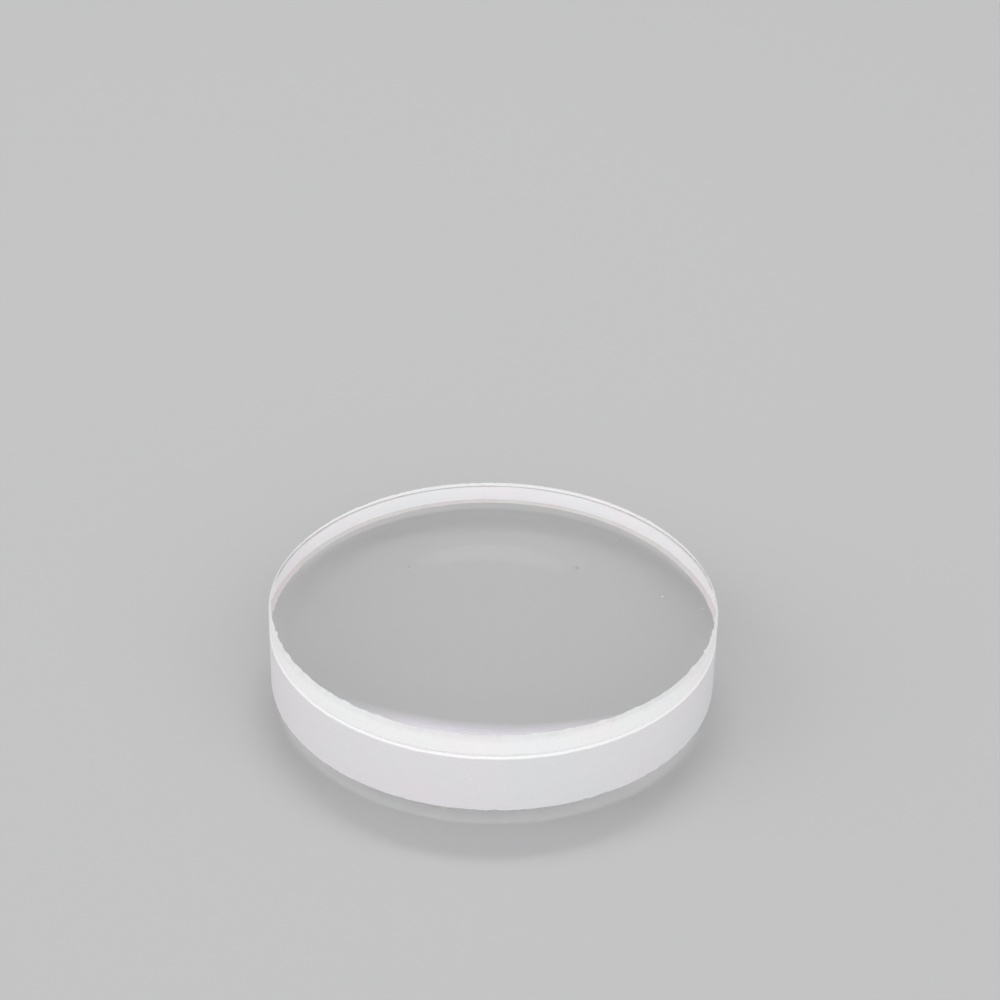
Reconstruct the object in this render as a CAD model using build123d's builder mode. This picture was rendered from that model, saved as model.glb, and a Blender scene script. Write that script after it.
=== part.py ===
from build123d import *
from math import sqrt
import os

# Cemented achromatic doublet, in millimetres: a biconvex crown element cemented into the hollow
# face of a flint meniscus. +Z is the optical axis. The lens lies on its flint side, crown up,
# and the origin is the lowest point of the glass, the vertex of the flint's back face.

# Rim, common to both elements
lens_diameter = 25.4

# Radii of curvature of the three optical faces
front_radius = 62.8
joint_radius = 45.7
back_radius = 128.2

# Thicknesses on the axis
crown_thickness = 4.33
flint_thickness = 2.72
cement_thickness = 0.02

# Protective bevels at 45 degrees, each given as its width across the face
crown_front_bevel = 0.12
crown_joint_bevel = 0.1
flint_joint_bevel = 0.12
flint_back_bevel = 0.28

# Cement bead in the groove between the two joint bevels: how far it stays inside the rim, and
# how deep its outer face is hollowed
bead_setback = 0.07
bead_hollow = 0.01

# Heights of the four vertices on the axis
back_vertex = 0
flint_joint_vertex = back_vertex + flint_thickness
crown_joint_vertex = flint_joint_vertex + cement_thickness
front_vertex = crown_joint_vertex + crown_thickness

rim_radius = lens_diameter / 2
bead_radius = rim_radius - bead_setback


def sagitta(face_radius, distance):
    """Depth of a spherical face below its vertex plane, at a distance from the axis."""
    return face_radius - sqrt(face_radius**2 - distance**2)


def front_face(distance):
    """Height of the crown's front face, which falls away from its vertex."""
    return front_vertex - sagitta(front_radius, distance)


def crown_joint_face(distance):
    """Height of the crown's cemented face, which rises away from its vertex."""
    return crown_joint_vertex + sagitta(joint_radius, distance)


def flint_joint_face(distance):
    """Height of the flint's hollow cemented face."""
    return flint_joint_vertex + sagitta(joint_radius, distance)


def back_face(distance):
    """Height of the flint's back face, on which the lens lies."""
    return back_vertex + sagitta(back_radius, distance)


def face_arc(face, reach):
    """Arc of a spherical face in the half section, from the axis out to its bevel."""
    return ThreePointArc((0, face(0)), (reach / 2, face(reach / 2)), (reach, face(reach)))


# Where each polished face ends and its bevel begins, and where the bevel meets the rim
front_reach = rim_radius - crown_front_bevel
crown_joint_reach = rim_radius - crown_joint_bevel
flint_joint_reach = rim_radius - flint_joint_bevel
back_reach = rim_radius - flint_back_bevel

crown_rim_top = front_face(front_reach) - crown_front_bevel
crown_rim_bottom = crown_joint_face(crown_joint_reach) + crown_joint_bevel
flint_rim_top = flint_joint_face(flint_joint_reach) - flint_joint_bevel
flint_rim_bottom = back_face(back_reach) + flint_back_bevel

# Crown element: biconvex, steeper on its cemented side
with BuildPart() as crown_element:
    with BuildSketch(Plane.XZ) as crown_section:
        with BuildLine() as crown_outline:
            front_arc = face_arc(front_face, front_reach)
            joint_arc = face_arc(crown_joint_face, crown_joint_reach)
            Polyline(
                front_arc @ 1,
                (rim_radius, crown_rim_top),
                (rim_radius, crown_rim_bottom),
                joint_arc @ 1,
            )
            Line(joint_arc @ 0, front_arc @ 0)
        make_face()
    revolve(axis=Axis.Z)

# Flint element: a meniscus whose hollow face has the crown's joint radius
with BuildPart() as flint_element:
    with BuildSketch(Plane.XZ) as flint_section:
        with BuildLine() as flint_outline:
            hollow_arc = face_arc(flint_joint_face, flint_joint_reach)
            back_arc = face_arc(back_face, back_reach)
            Polyline(
                hollow_arc @ 1,
                (rim_radius, flint_rim_top),
                (rim_radius, flint_rim_bottom),
                back_arc @ 1,
            )
            Line(back_arc @ 0, hollow_arc @ 0)
        make_face()
    revolve(axis=Axis.Z)

# Heights at which the bead's outer face meets the crown's bevel above and the flint's below
bead_top = crown_rim_bottom - bead_setback
bead_bottom = flint_rim_top + bead_setback
bead_middle = (bead_top + bead_bottom) / 2

# Cement layer: an even film between the joint faces, ending in a bead with a hollow outer face
with BuildPart() as cement_layer:
    with BuildSketch(Plane.XZ) as cement_section:
        with BuildLine() as cement_outline:
            upper_arc = face_arc(crown_joint_face, crown_joint_reach)
            lower_arc = face_arc(flint_joint_face, flint_joint_reach)
            Line(upper_arc @ 1, (bead_radius, bead_top))
            ThreePointArc(
                (bead_radius, bead_top),
                (bead_radius - bead_hollow, bead_middle),
                (bead_radius, bead_bottom),
            )
            Line((bead_radius, bead_bottom), lower_arc @ 1)
            Line(lower_arc @ 0, upper_arc @ 0)
        make_face()
    revolve(axis=Axis.Z)

crown_element.part.label = "crown_element"
flint_element.part.label = "flint_element"
cement_layer.part.label = "cement_layer"

os.makedirs("parts", exist_ok=True)
export_step(crown_element.part, "parts/crown_element.step")
export_step(flint_element.part, "parts/flint_element.step")
export_step(cement_layer.part, "parts/cement_layer.step")
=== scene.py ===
from math import cos, pi, radians, sin, sqrt, tau

import bpy
import numpy as np
from mathutils import Matrix, Vector


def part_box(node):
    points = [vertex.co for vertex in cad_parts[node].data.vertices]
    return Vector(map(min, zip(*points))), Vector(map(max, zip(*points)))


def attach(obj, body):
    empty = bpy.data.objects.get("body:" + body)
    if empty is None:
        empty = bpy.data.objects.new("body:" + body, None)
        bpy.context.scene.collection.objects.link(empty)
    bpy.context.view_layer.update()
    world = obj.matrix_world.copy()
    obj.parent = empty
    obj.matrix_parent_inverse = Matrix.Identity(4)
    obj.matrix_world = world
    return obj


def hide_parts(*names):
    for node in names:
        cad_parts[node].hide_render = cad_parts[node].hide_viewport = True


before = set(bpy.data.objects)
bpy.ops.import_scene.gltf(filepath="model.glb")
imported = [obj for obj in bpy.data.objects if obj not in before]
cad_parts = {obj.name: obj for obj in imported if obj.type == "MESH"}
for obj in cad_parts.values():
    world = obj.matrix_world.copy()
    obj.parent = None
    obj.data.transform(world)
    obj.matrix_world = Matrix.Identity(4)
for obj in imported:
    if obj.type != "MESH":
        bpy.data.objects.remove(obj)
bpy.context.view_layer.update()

# Looks of a cemented achromatic doublet, in metres: clear coated faces, a fine-ground rim with
# chipped edges, and a bead of cement in the groove where the two glasses meet.
mm = 0.001

# Radii of curvature of the optical faces, as in the solids
front_radius = 62.8 * mm
joint_radius = 45.7 * mm
back_radius = 128.2 * mm

# Widths of the 45 degree bevels, as in the solids
crown_front_bevel = 0.12 * mm
crown_joint_bevel = 0.1 * mm
flint_joint_bevel = 0.12 * mm
flint_back_bevel = 0.28 * mm

# Refractive indices, and the anti-reflection coating on the two outer faces
crown_index = 1.517
flint_index = 1.673
ground_index = 1.45
coating_index = 1.38
coating_nanometres = 112

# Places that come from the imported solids
crown_low, crown_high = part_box("crown_element")
flint_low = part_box("flint_element")[0]
cement_low, cement_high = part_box("cement_layer")
rim_radius = (crown_high[0] - crown_low[0]) / 2
bead_radius = (cement_high[0] - cement_low[0]) / 2
front_vertex = crown_high[2]
crown_joint_vertex = crown_low[2]
flint_joint_vertex = cement_low[2]
back_vertex = flint_low[2]

# Gap between the film's mesh and the glass on each side, so that no two faces coincide
film_gap = 0.004 * mm

# Fineness of the turned meshes, and how much closer the rings of a face lie near its edge
segments = 1440
face_rings = 20
film_rings = 10
crown_wall_rings = 3
flint_wall_rings = 5
ring_crowding = 0.25
azimuths = np.arange(segments) * tau / segments

# Waves round an edge, by their count, that add up to its slow wander
wander_waves = range(16, 260, 11)

# Ways that a face curves from its vertex, or looks
up = 1
down = -1


def sagitta(face_radius, distance):
    """Depth of a spherical face below its vertex plane, at a distance from the axis."""
    return face_radius - np.sqrt(face_radius**2 - distance**2)


class Face:
    """A spherical face: its vertex height, its radius, and the way it curves from there."""

    def __init__(self, vertex, radius, way):
        self.vertex = vertex
        self.radius = radius
        self.way = way

    def height(self, distance):
        return self.vertex + self.way * sagitta(self.radius, distance)

    def normals(self, places, outward):
        """Exact normals at an array of places, on the side that looks outward, up or down."""
        centre = np.array([0, 0, self.vertex + self.way * self.radius])
        away = (places - centre) / self.radius
        return away * np.where(away[:, 2:] * outward < 0, -1, 1)


front_face = Face(front_vertex, front_radius, down)
crown_joint_face = Face(crown_joint_vertex, joint_radius, up)
flint_joint_face = Face(flint_joint_vertex, joint_radius, up)
back_face = Face(back_vertex, back_radius, up)
film_top_face = Face(crown_joint_vertex - film_gap, joint_radius, up)
film_bottom_face = Face(flint_joint_vertex + film_gap, joint_radius, up)


def one_chip(centre, half_width, depth):
    """Depth of one shell-shaped chip at each azimuth."""
    away = np.abs((azimuths - centre + pi) % tau - pi) * rim_radius / half_width
    return depth * np.sqrt(np.clip(1 - away**2, 0, 1))


def edge_wear(seed, wander, chip_count, chip_depth, chip_half_width, notches=()):
    """Depth worn off an edge at each azimuth: a slow wander, small shell-shaped chips drawn at
    random, and notches given as azimuth in degrees, half width and depth."""
    draw = np.random.default_rng(seed)
    worn = np.zeros(segments)
    for waves in wander_waves:
        worn += np.sin(waves * azimuths + draw.uniform(0, tau)) / sqrt(waves)
    worn = wander * (worn - worn.min()) / (worn.max() - worn.min())
    for _ in range(chip_count):
        centre = draw.uniform(0, tau)
        half_width = chip_half_width * draw.uniform(0.25, 1)
        # Squared, so that more of the chips are shallow
        depth = chip_depth * draw.uniform(0.3, 1) ** 2
        worn = np.maximum(worn, one_chip(centre, half_width, depth))
    for degrees, half_width, depth in notches:
        worn = np.maximum(worn, one_chip(radians(degrees), half_width, depth))
    return worn


def ring(distance, height):
    """One ring of places. Distance and height are numbers, or arrays over the azimuths."""
    distance = np.broadcast_to(distance, segments)
    height = np.broadcast_to(height, segments)
    return np.stack([distance * np.cos(azimuths), distance * np.sin(azimuths), height], axis=1)


def face_rows(face, reach, count=face_rings):
    """Rings of a spherical face from near the axis out to its edge, closer near the edge."""
    steps = np.arange(1, count + 1) / count
    steps = steps + ring_crowding * steps * (1 - steps)
    return [ring(step * reach, face.height(step * reach)) for step in steps]


def wall_rows(low, high, count):
    """Rings of a ruled wall from one ring to another, both left out."""
    return [low + (high - low) * step / (count + 1) for step in range(1, count + 1)]


class Turned:
    """A closed turned mesh, built from one axis point to the other as bands of rings."""

    def __init__(self, name, start_height):
        self.name = name
        self.start = start_height
        self.rings = []
        self.finishes = []
        self.faces = []

    def band(self, rings, finish, face=None, outward=0):
        """Adds rings. The strips that lead to them take this finish and this exact face."""
        for added in rings:
            self.rings.append(added)
            self.finishes.append(finish)
            self.faces.append((face, outward))

    def make(self, end_height):
        """Makes the object. The strip from the last ring to the axis is the last band's."""
        places = np.concatenate([[(0, 0, self.start)], *self.rings, [(0, 0, end_height)]])
        here = np.arange(segments)
        after = (here + 1) % segments
        start = np.zeros(segments, int)
        end = np.full(segments, len(places) - 1)
        polygons = np.stack([start, 1 + here, 1 + after], axis=1).tolist()
        for i in range(len(self.rings) - 1):
            near = 1 + i * segments
            far = near + segments
            strip = np.stack([near + here, far + here, far + after, near + after], axis=1)
            polygons += strip.tolist()
        near = end[0] - segments
        polygons += np.stack([near + here, end, near + after], axis=1).tolist()
        finishes = self.finishes + self.finishes[-1:]
        faces = self.faces + self.faces[-1:]

        mesh = bpy.data.meshes.new(self.name)
        mesh.from_pydata(places.tolist(), [], polygons)
        in_order = list(dict.fromkeys(finishes))
        for finish in in_order:
            mesh.materials.append(finish)
        numbers = [in_order.index(finish) for finish in finishes]
        mesh.polygons.foreach_set("material_index", np.repeat(numbers, segments))
        smooth = [face is not None for face, _ in faces]
        mesh.polygons.foreach_set("use_smooth", np.repeat(smooth, segments))
        mesh.update()
        self.set_normals(mesh, places, polygons, faces)
        piece = bpy.data.objects.new(self.name, mesh)
        bpy.context.scene.collection.objects.link(piece)
        return piece

    def set_normals(self, mesh, places, polygons, faces):
        """Gives polished strips the exact normals of their sphere, and leaves the others flat."""
        normals = []
        for i, (face, outward) in enumerate(faces):
            strip = polygons[i * segments : (i + 1) * segments]
            corners = np.array(strip).reshape(-1)
            if face is None:
                normals.append(np.zeros((len(corners), 3)))
            else:
                normals.append(face.normals(places[corners], outward))
        mesh.normals_split_custom_set(np.concatenate(normals).tolist())


white = (1, 1, 1, 1)


def grey(tone):
    """A neutral colour."""
    return (tone, tone, tone, 1)


def feed(tree, socket, value):
    """Gives an input a plain value, or joins an output to it."""
    if isinstance(value, bpy.types.NodeSocket):
        tree.links.new(value, socket)
    else:
        socket.default_value = value


def add(tree, kind, inputs=(), **settings):
    """Adds a node with its settings. Inputs are values or outputs, by socket name or number."""
    node = tree.nodes.new(kind)
    for name, value in settings.items():
        setattr(node, name, value)
    for name, value in dict(inputs).items():
        feed(tree, node.inputs[name], value)
    return node


def work(tree, operation, *values, clamp=False):
    """A sum or other function of numbers."""
    inputs = dict(enumerate(values))
    return add(tree, "ShaderNodeMath", inputs, operation=operation, use_clamp=clamp).outputs[0]


def blend(tree, share, first, second, kind="MIX"):
    """A mix of two colours."""
    inputs = {0: share, 6: first, 7: second}
    return add(tree, "ShaderNodeMix", inputs, data_type="RGBA", blend_type=kind).outputs[2]


def speckle(tree, place, scale, detail):
    """Noise from 0 to 1."""
    inputs = {"Vector": place, "Scale": scale, "Detail": detail, "Roughness": 0.6}
    return add(tree, "ShaderNodeTexNoise", inputs).outputs["Fac"]


def on_object(tree):
    """Places on the object, in metres from its origin."""
    return add(tree, "ShaderNodeTexCoord").outputs["Object"]


def new_group(name, inputs, outputs):
    """An empty node group. Inputs are kinds and plain values by name, outputs are kinds."""
    tree = bpy.data.node_groups.new(name, "ShaderNodeTree")
    for label, (kind, value) in inputs.items():
        socket = tree.interface.new_socket(label, in_out="INPUT", socket_type=kind)
        socket.default_value = value
    for label, kind in outputs.items():
        tree.interface.new_socket(label, in_out="OUTPUT", socket_type=kind)
    return tree, tree.nodes.new("NodeGroupInput").outputs, tree.nodes.new("NodeGroupOutput").inputs


def make_ground_grain():
    """Fine grinding: grain, faint lines round the rim, and patches a little warmer or cooler."""
    grain_scale = 7000
    height_scale = 21000
    line_stretch = (500, 500, 9000)
    line_height = 0.5
    roughness_swing = 0.3
    patch_scale = 210
    patch_contrast = 4
    warm = (1, 0.972, 0.982, 1)
    cool = (0.965, 0.985, 0.985, 1)
    inputs = {
        "Colour": ("NodeSocketColor", (0.8, 0.8, 0.8, 1)),
        "Grain": ("NodeSocketFloat", 0.05),
        "Lines": ("NodeSocketFloat", 0.03),
        "Patches": ("NodeSocketFloat", 1),
        "Evenness": ("NodeSocketFloat", 0.5),
    }
    outputs = {
        "Colour": "NodeSocketColor",
        "Roughness": "NodeSocketFloat",
        "Height": "NodeSocketFloat",
    }
    tree, given, result = new_group("ground_grain", inputs, outputs)
    place = on_object(tree)
    stretched = {0: place, 1: line_stretch}
    around = add(tree, "ShaderNodeVectorMath", stretched, operation="MULTIPLY").outputs[0]
    grain = work(tree, "SUBTRACT", speckle(tree, place, grain_scale, 3), 0.5)
    lines = work(tree, "SUBTRACT", speckle(tree, around, 1, 3), 0.5)
    soft = speckle(tree, place, patch_scale, 2)
    base = (1 - patch_contrast) / 2
    patches = work(tree, "MULTIPLY_ADD", soft, patch_contrast, base, clamp=True)
    tint = blend(tree, patches, warm, cool)
    tinted = blend(tree, given["Patches"], given["Colour"], tint, "MULTIPLY")
    tone = work(tree, "MULTIPLY_ADD", grain, given["Grain"], 1)
    tone = work(tree, "MULTIPLY_ADD", lines, given["Lines"], tone)
    toned = add(tree, "ShaderNodeVectorMath", {0: tinted, "Scale": tone}, operation="SCALE")
    feed(tree, result["Colour"], toned.outputs[0])
    roughness = work(tree, "MULTIPLY_ADD", grain, roughness_swing, given["Evenness"])
    feed(tree, result["Roughness"], roughness)
    fine = speckle(tree, place, height_scale, 2)
    feed(tree, result["Height"], work(tree, "MULTIPLY_ADD", lines, line_height, fine))
    return tree


def make_edge_fade():
    """A mask that is 1 at a height on the object and fades away from it, with a ragged end. The
    rims use it for painted highlights along their edges, and to darken the crown below its top
    edge.
    """
    ragged_scale = 2200
    inputs = {
        "Edge Height": ("NodeSocketFloat", 0),
        "Reach": ("NodeSocketFloat", 0.0001),
        "Raggedness": ("NodeSocketFloat", 0.5),
    }
    tree, given, result = new_group("edge_fade", inputs, {"Mask": "NodeSocketFloat"})
    place = on_object(tree)
    height = add(tree, "ShaderNodeSeparateXYZ", {0: place}).outputs["Z"]
    away = work(tree, "ABSOLUTE", work(tree, "SUBTRACT", height, given["Edge Height"]))
    share = work(tree, "DIVIDE", away, given["Reach"])
    ragged = work(tree, "SUBTRACT", speckle(tree, place, ragged_scale, 3), 0.5)
    share = work(tree, "MULTIPLY_ADD", ragged, given["Raggedness"], share)
    feed(tree, result["Mask"], work(tree, "SUBTRACT", 1, share, clamp=True))
    return tree


def make_dust_specks():
    """A mask of a few dust specks, sparse and up to a quarter of a millimetre across. They are
    placed in plan, so a shift keeps one face's specks from lying over another's."""
    wander_scale = 9000
    wander_reach = 0.08 * mm
    inputs = {
        "Cell Scale": ("NodeSocketFloat", 420),
        "Rarity": ("NodeSocketFloat", 0.9),
        "Size": ("NodeSocketFloat", 0.055),
        "Shift": ("NodeSocketFloat", 0),
    }
    tree, given, result = new_group("dust_specks", inputs, {"Mask": "NodeSocketFloat"})
    place = on_object(tree)
    noise = {"Vector": place, "Scale": wander_scale, "Detail": 2}
    wander = add(tree, "ShaderNodeTexNoise", noise).outputs["Color"]
    shifted = add(tree, "ShaderNodeVectorMath", {0: place, 1: given["Shift"]}).outputs[0]
    moved = {0: wander, 1: (wander_reach, wander_reach, wander_reach), 2: shifted}
    ragged = add(tree, "ShaderNodeVectorMath", moved, operation="MULTIPLY_ADD").outputs[0]
    scaled = {"Vector": ragged, "Scale": given["Cell Scale"]}
    cells = add(tree, "ShaderNodeTexVoronoi", scaled, voronoi_dimensions="2D")
    drawn = add(tree, "ShaderNodeSeparateColor", {0: cells.outputs["Color"]}).outputs
    chosen = work(tree, "GREATER_THAN", drawn["Red"], given["Rarity"])
    size = work(tree, "MULTIPLY", drawn["Green"], given["Size"])
    inside = work(tree, "LESS_THAN", cells.outputs["Distance"], size)
    feed(tree, result["Mask"], work(tree, "MULTIPLY", chosen, inside))
    return tree


ground_grain = make_ground_grain()
edge_fade = make_edge_fade()
dust_specks = make_dust_specks()

# Dust on the polished faces, and the light from their surroundings that they let through
dust_colour = (0.45, 0.44, 0.42, 1)
dust_roughness = 0.6
diffuse_tint = (0.99, 0.99, 0.99, 1)

# Relief of the ground faces
grinding_depth = 0.002 * mm
grinding_strength = 0.6


def place_group(tree, group, inputs):
    """Places a shared effect in a material, and returns its outputs."""
    node = tree.nodes.new("ShaderNodeGroup")
    node.node_tree = group
    for name, value in inputs.items():
        feed(tree, node.inputs[name], value)
    return node.outputs


def new_finish(name):
    """A new material, with its empty node tree."""
    made = bpy.data.materials.new(name)
    made.use_nodes = True
    made.node_tree.nodes.clear()
    return made, made.node_tree


def show(tree, shader):
    """Joins a shader to the material's surface."""
    add(tree, "ShaderNodeOutputMaterial", {"Surface": shader})


def show_open_glass(tree, glass, path, passed):
    """Shows glass that shadow and diffuse rays pass straight through, tinted with what is passed,
    so that the lamps light what lies under and inside the lens."""
    either = work(tree, "MAXIMUM", path["Is Shadow Ray"], path["Is Diffuse Ray"])
    clear = add(tree, "ShaderNodeBsdfTransparent", {"Color": passed}).outputs[0]
    inputs = {0: either, 1: glass.outputs[0], 2: clear}
    show(tree, add(tree, "ShaderNodeMixShader", inputs).outputs[0])


def polished_glass(name, index, lamp_tint, dust_inputs):
    """A polished and coated face of clear glass, with a few specks of dust."""
    made, tree = new_finish(name)
    dust = place_group(tree, dust_specks, dust_inputs)["Mask"]
    inputs = {
        "Base Color": blend(tree, dust, white, dust_colour),
        "Roughness": work(tree, "MULTIPLY", dust, dust_roughness),
        "IOR": index,
        "Transmission Weight": 1,
        "Thin Film Thickness": coating_nanometres,
        "Thin Film IOR": coating_index,
    }
    glass = add(tree, "ShaderNodeBsdfPrincipled", inputs)
    path = add(tree, "ShaderNodeLightPath").outputs
    passed = blend(tree, path["Is Diffuse Ray"], lamp_tint, diffuse_tint)
    show_open_glass(tree, glass, path, passed)
    return made


def joint_interface():
    """The cemented surface where light bends from crown into flint."""
    made, tree = new_finish("joint_interface")
    inputs = {
        "Base Color": white,
        "Roughness": 0,
        "IOR": flint_index / crown_index,
        "Transmission Weight": 1,
    }
    glass = add(tree, "ShaderNodeBsdfPrincipled", inputs)
    show_open_glass(tree, glass, add(tree, "ShaderNodeLightPath").outputs, white)
    return made


def cemented_face():
    """A face inside the cement, that light passes as if nothing were there."""
    made, tree = new_finish("cemented_face")
    show(tree, add(tree, "ShaderNodeBsdfTransparent", {"Color": white}).outputs[0])
    return made


def ground_glass(name, outside, inside, roughness, fades=(), grain=0.09, lines=0.05):
    """Fine-ground white glass: its colour seen from outside, and through the polished faces
    from inside. On the rims the inside colour is lighter, a painted glow of light through the
    ground glass. Fades are an edge's height, the reach of its tone, and that tone; the lighter
    tones are painted highlights along the edges."""
    made, tree = new_finish(name)
    seen_within = add(tree, "ShaderNodeNewGeometry").outputs["Backfacing"]
    colour = blend(tree, seen_within, outside, inside)
    for height, reach, tone in fades:
        near = place_group(tree, edge_fade, {"Edge Height": height, "Reach": reach})["Mask"]
        colour = blend(tree, near, colour, tone, "MULTIPLY")
    inputs = {"Colour": colour, "Grain": grain, "Lines": lines, "Evenness": roughness}
    ground = place_group(tree, ground_grain, inputs)
    relief = {
        "Height": ground["Height"],
        "Strength": grinding_strength,
        "Distance": grinding_depth,
    }
    inputs = {
        "Base Color": ground["Colour"],
        "Roughness": ground["Roughness"],
        "IOR": ground_index,
        "Normal": add(tree, "ShaderNodeBump", relief).outputs[0],
    }
    show(tree, add(tree, "ShaderNodeBsdfPrincipled", inputs).outputs[0])
    return made


# Where the bevels meet the rim
crown_rim_top = front_face.height(rim_radius - crown_front_bevel) - crown_front_bevel
crown_rim_bottom = crown_joint_face.height(rim_radius - crown_joint_bevel) + crown_joint_bevel
flint_rim_top = flint_joint_face.height(rim_radius - flint_joint_bevel) - flint_joint_bevel
flint_rim_bottom = back_face.height(rim_radius - flint_back_bevel) + flint_back_bevel

# The back face dims what the lamps send through it, so that the lens stands out from the floor
back_tint = (0.58, 0.585, 0.585, 1)
polished_crown = polished_glass("polished_crown", crown_index, white, {"Rarity": 0.92})
polished_flint = polished_glass(
    "polished_flint", flint_index, back_tint, {"Rarity": 0.97, "Shift": 0.031}
)
joint_glass = joint_interface()
cemented = cemented_face()

# The rims are painted lighter seen from inside than from outside: painted light, for the glow of
# light through the ground glass onto the wall seen within the lens.
ground_crown = ground_glass(
    "ground_crown",
    outside=grey(0.89),
    inside=grey(0.97),
    roughness=0.5,
    # Painted tone along the crown rim's edges: a little darker just below its top edge, and a
    # painted highlight near the joint.
    fades=[
        (crown_rim_top, 0.35 * mm, grey(0.95)),
        (crown_rim_bottom, 0.12 * mm, grey(1.04)),
    ],
)
ground_flint = ground_glass(
    "ground_flint",
    # The crown rim is painted lighter than this flint rim: painted light, for the light that
    # enters through the crown's polished front face and makes its rim glow.
    outside=(0.725, 0.715, 0.73, 1),
    inside=(0.96, 0.95, 0.96, 1),
    roughness=0.55,
    # Painted highlights along the flint rim's bottom edge and along the joint.
    fades=[
        (flint_rim_bottom, 0.12 * mm, grey(1.1)),
        (flint_rim_top, 0.14 * mm, grey(1.13)),
    ],
)
ground_bevel = ground_glass(
    "ground_bevel", outside=grey(0.6), inside=grey(0.9), roughness=0.45, grain=0.12, lines=0
)
back_bevel = ground_glass(
    "back_bevel",
    outside=grey(0.74),
    inside=(0.65, 0.615, 0.61, 1),
    roughness=0.45,
    grain=0.12,
    lines=0,
)
# Seen from outside, this bevel is painted light: a painted highlight along the joint that lifts it
# out of the groove's shade.
wetted_bevel = ground_glass(
    "wetted_bevel",
    outside=(0.95, 0.95, 0.94, 1),
    inside=(0.5, 0.5, 0.49, 1),
    roughness=0.35,
    grain=0.15,
    lines=0,
)
# Seen from outside, this bevel is painted light: a painted highlight along the joint that lifts it
# out of the groove's shade.
joint_bevel = ground_glass(
    "joint_bevel", outside=grey(0.83), inside=grey(0.8), roughness=0.45, grain=0.1, lines=0
)
# Seen from outside, the bead is painted light: a painted highlight along the joint that lifts it
# out of the groove's shade.
cement_bead = ground_glass(
    "cement_bead",
    outside=(0.87, 0.87, 0.86, 1),
    inside=(0.9, 0.9, 0.86, 1),
    roughness=0.3,
    grain=0.2,
    lines=0,
)

# Notches that stand out from the small chips: azimuth in degrees, half width and depth
front_notches = [(197.3, 0.22 * mm, 0.11 * mm), (214, 0.3 * mm, 0.07 * mm)]
rim_notches = [(299.5, 0.2 * mm, 0.12 * mm), (318, 0.3 * mm, 0.06 * mm)]
joint_notches = [(48.4, 0.25 * mm, 0.1 * mm), (226, 0.35 * mm, 0.07 * mm)]

# Wear of each edge, from the front face down to the back face, then of the bead: its seed, its
# wander, and the number, greatest depth and greatest half width of its chips
front_wear = edge_wear(1, 0.05 * mm, 170, 0.1 * mm, 0.35 * mm, front_notches)
crown_top_wear = edge_wear(2, 0.04 * mm, 90, 0.07 * mm, 0.3 * mm)
crown_bottom_wear = edge_wear(3, 0.04 * mm, 110, 0.06 * mm, 0.3 * mm)
flint_top_wear = edge_wear(5, 0.05 * mm, 110, 0.08 * mm, 0.4 * mm, joint_notches)
flint_bottom_wear = edge_wear(6, 0.06 * mm, 90, 0.1 * mm, 0.4 * mm, rim_notches)
back_wear = edge_wear(4, 0.03 * mm, 90, 0.07 * mm, 0.3 * mm)
bead_wear = edge_wear(7, 0.02 * mm, 60, 0.03 * mm, 0.3 * mm)

# Where each face ends and its bevel begins
front_reach = rim_radius - crown_front_bevel - front_wear
crown_joint_reach = rim_radius - crown_joint_bevel
flint_joint_reach = rim_radius - flint_joint_bevel
back_reach = rim_radius - flint_back_bevel - back_wear


def make_crown():
    """The crown: front face, bevel, rim, bevel, cemented face."""
    turned = Turned("crown_glass", front_face.height(0))
    turned.band(face_rows(front_face, front_reach), polished_crown, front_face, up)
    top = ring(rim_radius, crown_rim_top - crown_top_wear)
    bottom = ring(rim_radius, crown_rim_bottom + crown_bottom_wear)
    turned.band([top], ground_bevel)
    turned.band([*wall_rows(top, bottom, crown_wall_rings), bottom], ground_crown)
    joint_rows = face_rows(crown_joint_face, crown_joint_reach)
    turned.band(joint_rows[-1:], wetted_bevel)
    turned.band(joint_rows[-2::-1], cemented, crown_joint_face, down)
    piece = turned.make(crown_joint_face.height(0))
    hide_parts("crown_element")
    return piece


def make_flint():
    """The flint: hollow cemented face, bevel, rim, bevel, back face."""
    turned = Turned("flint_glass", flint_joint_face.height(0))
    hollow_rows = face_rows(flint_joint_face, flint_joint_reach)
    turned.band(hollow_rows, joint_glass, flint_joint_face, up)
    top = ring(rim_radius, flint_rim_top - flint_top_wear)
    bottom = ring(rim_radius, flint_rim_bottom + flint_bottom_wear)
    turned.band([top], joint_bevel)
    turned.band([*wall_rows(top, bottom, flint_wall_rings), bottom], ground_flint)
    back_rows = face_rows(back_face, back_reach)
    turned.band(back_rows[-1:], back_bevel)
    turned.band(back_rows[-2::-1], polished_flint, back_face, down)
    piece = turned.make(back_face.height(0))
    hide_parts("flint_element")
    return piece


def make_cement():
    """The cement: a film between the joint faces, and its bead in the groove."""
    turned = Turned("cement_film", film_top_face.height(0))
    upper_rows = face_rows(film_top_face, crown_joint_reach, film_rings)
    turned.band(upper_rows, cemented, film_top_face, up)
    setback = rim_radius - bead_radius
    top = ring(bead_radius - bead_wear, crown_rim_bottom - setback)
    bottom = ring(bead_radius - bead_wear, flint_rim_top + setback)
    turned.band([top, bottom], cement_bead)
    lower_rows = face_rows(film_bottom_face, flint_joint_reach, film_rings)
    turned.band(lower_rows[-1:], cement_bead)
    turned.band(lower_rows[-2::-1], cemented, film_bottom_face, down)
    piece = turned.make(film_bottom_face.height(0))
    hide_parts("cement_layer")
    return piece


for piece in (make_crown(), make_flint(), make_cement()):
    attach(piece, "root")


# The floor, and the backdrop that it fades into, which the camera and the glass see beyond it
floor_colour = (0.385, 0.385, 0.39, 1)
floor_roughness = 0.7
backdrop_tone = (0.54, 0.54, 0.545, 1)
floor_reach = 8
fade_start = 0.2
fade_end = 0.8

# Brightness of the room as it lights the object
room_tone = grey(0.8)


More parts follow.
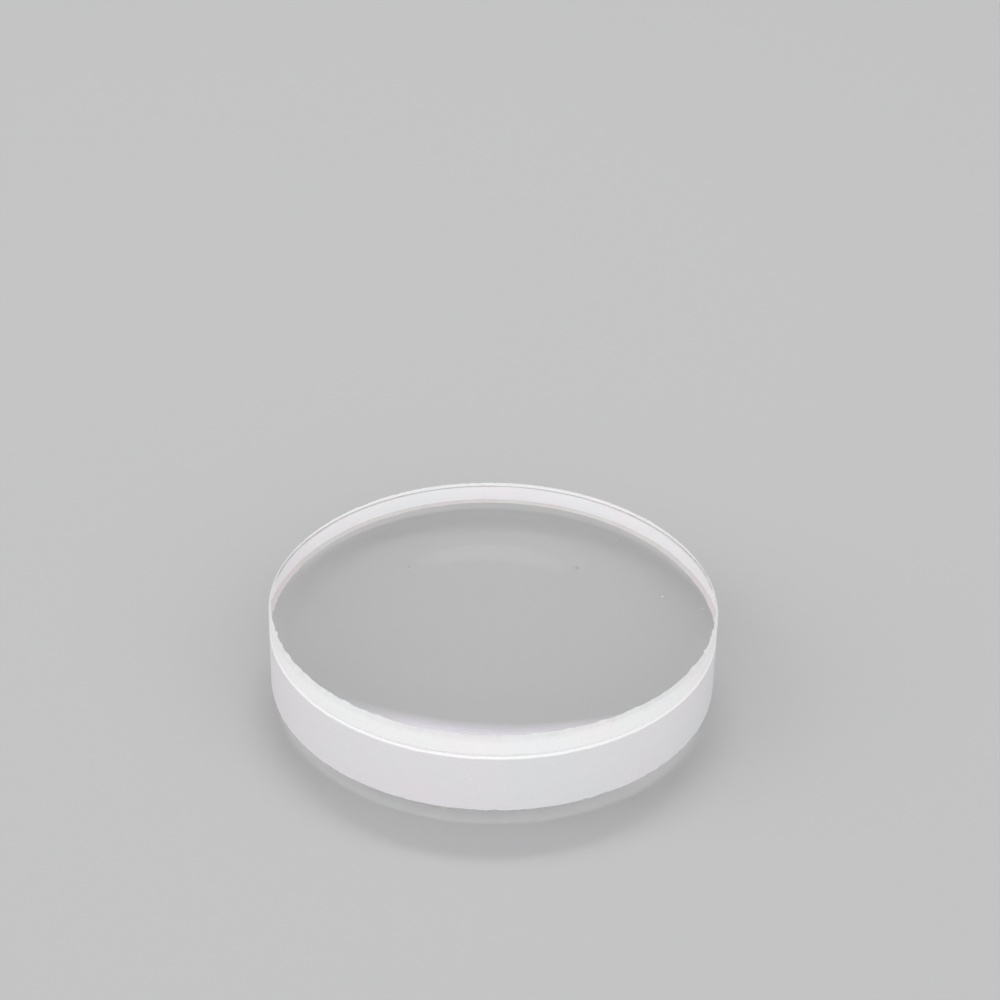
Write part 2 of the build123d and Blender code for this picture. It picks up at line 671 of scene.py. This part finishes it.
def make_floor():
    """A plain pale floor. Far from the lens it takes the backdrop's tone."""
    mesh = bpy.data.meshes.new("floor")
    signs = [(-1, -1), (1, -1), (1, 1), (-1, 1)]
    corners = [(x * floor_reach, y * floor_reach, 0) for x, y in signs]
    mesh.from_pydata(corners, [], [(0, 1, 2, 3)])
    made, tree = new_finish("floor_paint")
    inputs = {"Base Color": floor_colour, "Roughness": floor_roughness}
    near = add(tree, "ShaderNodeBsdfPrincipled", inputs).outputs[0]
    far = add(tree, "ShaderNodeEmission", {"Color": backdrop_tone}).outputs[0]
    span = add(tree, "ShaderNodeVectorMath", {0: on_object(tree)}, operation="LENGTH")
    inputs = {"Value": span.outputs["Value"], "From Min": fade_start, "From Max": fade_end}
    share = add(tree, "ShaderNodeMapRange", inputs, interpolation_type="SMOOTHSTEP").outputs[0]
    show(tree, add(tree, "ShaderNodeMixShader", {0: share, 1: near, 2: far}).outputs[0])
    mesh.materials.append(made)
    floor = bpy.data.objects.new("floor", mesh)
    bpy.context.scene.collection.objects.link(floor)


def make_lamp(name, place, size, power, edge_fall, bow=0):
    """A soft rectangular lamp aimed at the middle of the lens. Its cloth is brightest in the
    middle, and fades over the outer part of its half width that edge_fall gives. With a bow, the
    lit strip is narrower than the frame by that share, and both its ends bend back."""
    data = bpy.data.lights.new(name, "AREA")
    data.shape = "RECTANGLE"
    data.size, data.size_y = size
    data.energy = power
    data.use_nodes = True
    tree = data.node_tree
    across = add(tree, "ShaderNodeNewGeometry").outputs["Parametric"]
    sides = add(tree, "ShaderNodeSeparateXYZ", {0: across}).outputs
    from_middle = work(tree, "SUBTRACT", work(tree, "MULTIPLY", sides["X"], 2), 1)
    bent = work(tree, "MULTIPLY", work(tree, "MULTIPLY", from_middle, from_middle), bow)
    depth = work(tree, "SUBTRACT", work(tree, "ADD", sides["Y"], bent), bow)
    depth = work(tree, "DIVIDE", depth, 1 - bow, clamp=True)
    cloth = 1
    for side in (sides["X"], depth):
        inward = work(tree, "PINGPONG", side, 0.5)
        fade = work(tree, "DIVIDE", inward, edge_fall / 2, clamp=True)
        cloth = work(tree, "MULTIPLY", cloth, fade)
    feed(tree, tree.nodes["Emission"].inputs["Strength"], cloth)
    lamp = bpy.data.objects.new(name, data)
    middle = Vector((0, 0, front_vertex / 2))
    turn = (middle - Vector(place)).to_track_quat("-Z", "Y").to_matrix().to_4x4()
    lamp.matrix_world = Matrix.Translation(place) @ turn
    bpy.context.scene.collection.objects.link(lamp)


def make_light():
    """A plain pale room with three soft lamps: in front, at the left and overhead."""
    world = bpy.data.worlds.new("room")
    world.use_nodes = True
    tree = world.node_tree
    path = add(tree, "ShaderNodeLightPath").outputs
    seen = work(tree, "MAXIMUM", path["Is Camera Ray"], path["Is Glossy Ray"])
    seen = work(tree, "MAXIMUM", seen, path["Is Transmission Ray"])
    colour = blend(tree, seen, room_tone, backdrop_tone)
    feed(tree, tree.nodes["Background"].inputs["Color"], colour)
    bpy.context.scene.world = world
    make_lamp("front_softbox", (0.22, -0.5, 0.42), size=(1.6, 1), power=4.3, edge_fall=0.25)
    make_lamp("side_softbox", (-0.45, -0.12, 0.3), size=(0.5, 0.5), power=1.1, edge_fall=0.3)
    # The coating mirrors its bowed strip as a crescent along the front edge of the lens
    make_lamp(
        "overhead_softbox",
        (0.003, 0.1875, 0.34),
        size=(0.24, 0.115),
        power=1.6,
        edge_fall=0.57,
        bow=0.475,
    )


# Camera, in the photograph's place: the point of the floor behind the picture's middle, and the
# distance, elevation and roll at which it is seen. Its focal length is given in picture widths.
camera_target = Vector((0.242, 19.815, 0)) * mm
camera_distance = 159.365 * mm
camera_elevation = radians(32.172)
camera_roll = radians(1.183)
focal_widths = 2.4638


def make_camera():
    """The camera, looking down on the lens from the front."""
    data = bpy.data.cameras.new("camera")
    data.sensor_width = 36
    data.lens = focal_widths * data.sensor_width
    data.clip_start = 0.01
    data.clip_end = 10
    forward = Vector((0, cos(camera_elevation), -sin(camera_elevation)))
    level = Vector((1, 0, 0))
    upright = level.cross(forward)
    side = level * cos(camera_roll) + upright * sin(camera_roll)
    top = upright * cos(camera_roll) - level * sin(camera_roll)
    place = camera_target - forward * camera_distance
    turn = Matrix((side, top, -forward)).transposed().to_4x4()
    camera = bpy.data.objects.new("camera", data)
    camera.matrix_world = Matrix.Translation(place) @ turn
    bpy.context.scene.collection.objects.link(camera)
    bpy.context.scene.camera = camera


make_floor()
make_light()
make_camera()
bpy.context.scene.view_settings.view_transform = "Standard"

# Light that is mirrored inside the lens crosses the three clear faces at the cement many times
bpy.context.scene.cycles.transparent_max_bounces = 32
